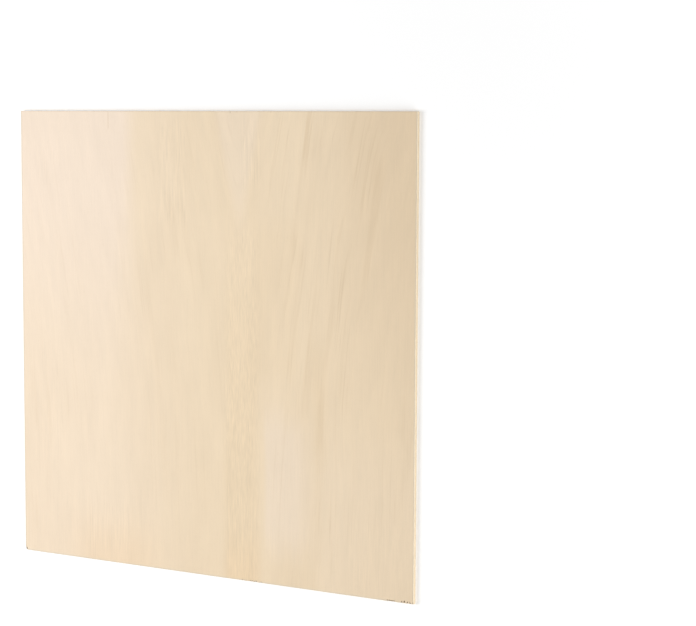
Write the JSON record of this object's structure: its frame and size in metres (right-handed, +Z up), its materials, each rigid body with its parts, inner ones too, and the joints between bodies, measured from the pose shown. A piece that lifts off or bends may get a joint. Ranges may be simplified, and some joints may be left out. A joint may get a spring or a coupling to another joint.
{
  "type": "plywood sheet",
  "caption": "Thin square three-ply basswood sheet with a pale sanded face and sawn edges, for cutting, gluing and light panel work.",
  "frame": {"origin": "middle of the underside, which lies on the floor", "axes": "+Z up through the plies to the show side, +Y along the grain of the face veneer, +X across it"},
  "size_m": [0.305, 0.305, 0.003],
  "materials": {
    "face_basswood": "sanded, unfinished",
    "core_basswood": "sawn edge, unfinished",
    "back_basswood": "sanded, unfinished"
  },
  "bodies": {
    "root": {"back_veneer": "back_basswood", "core_veneer": "core_basswood", "face_veneer": "face_basswood"}
  },
  "joints": []
}
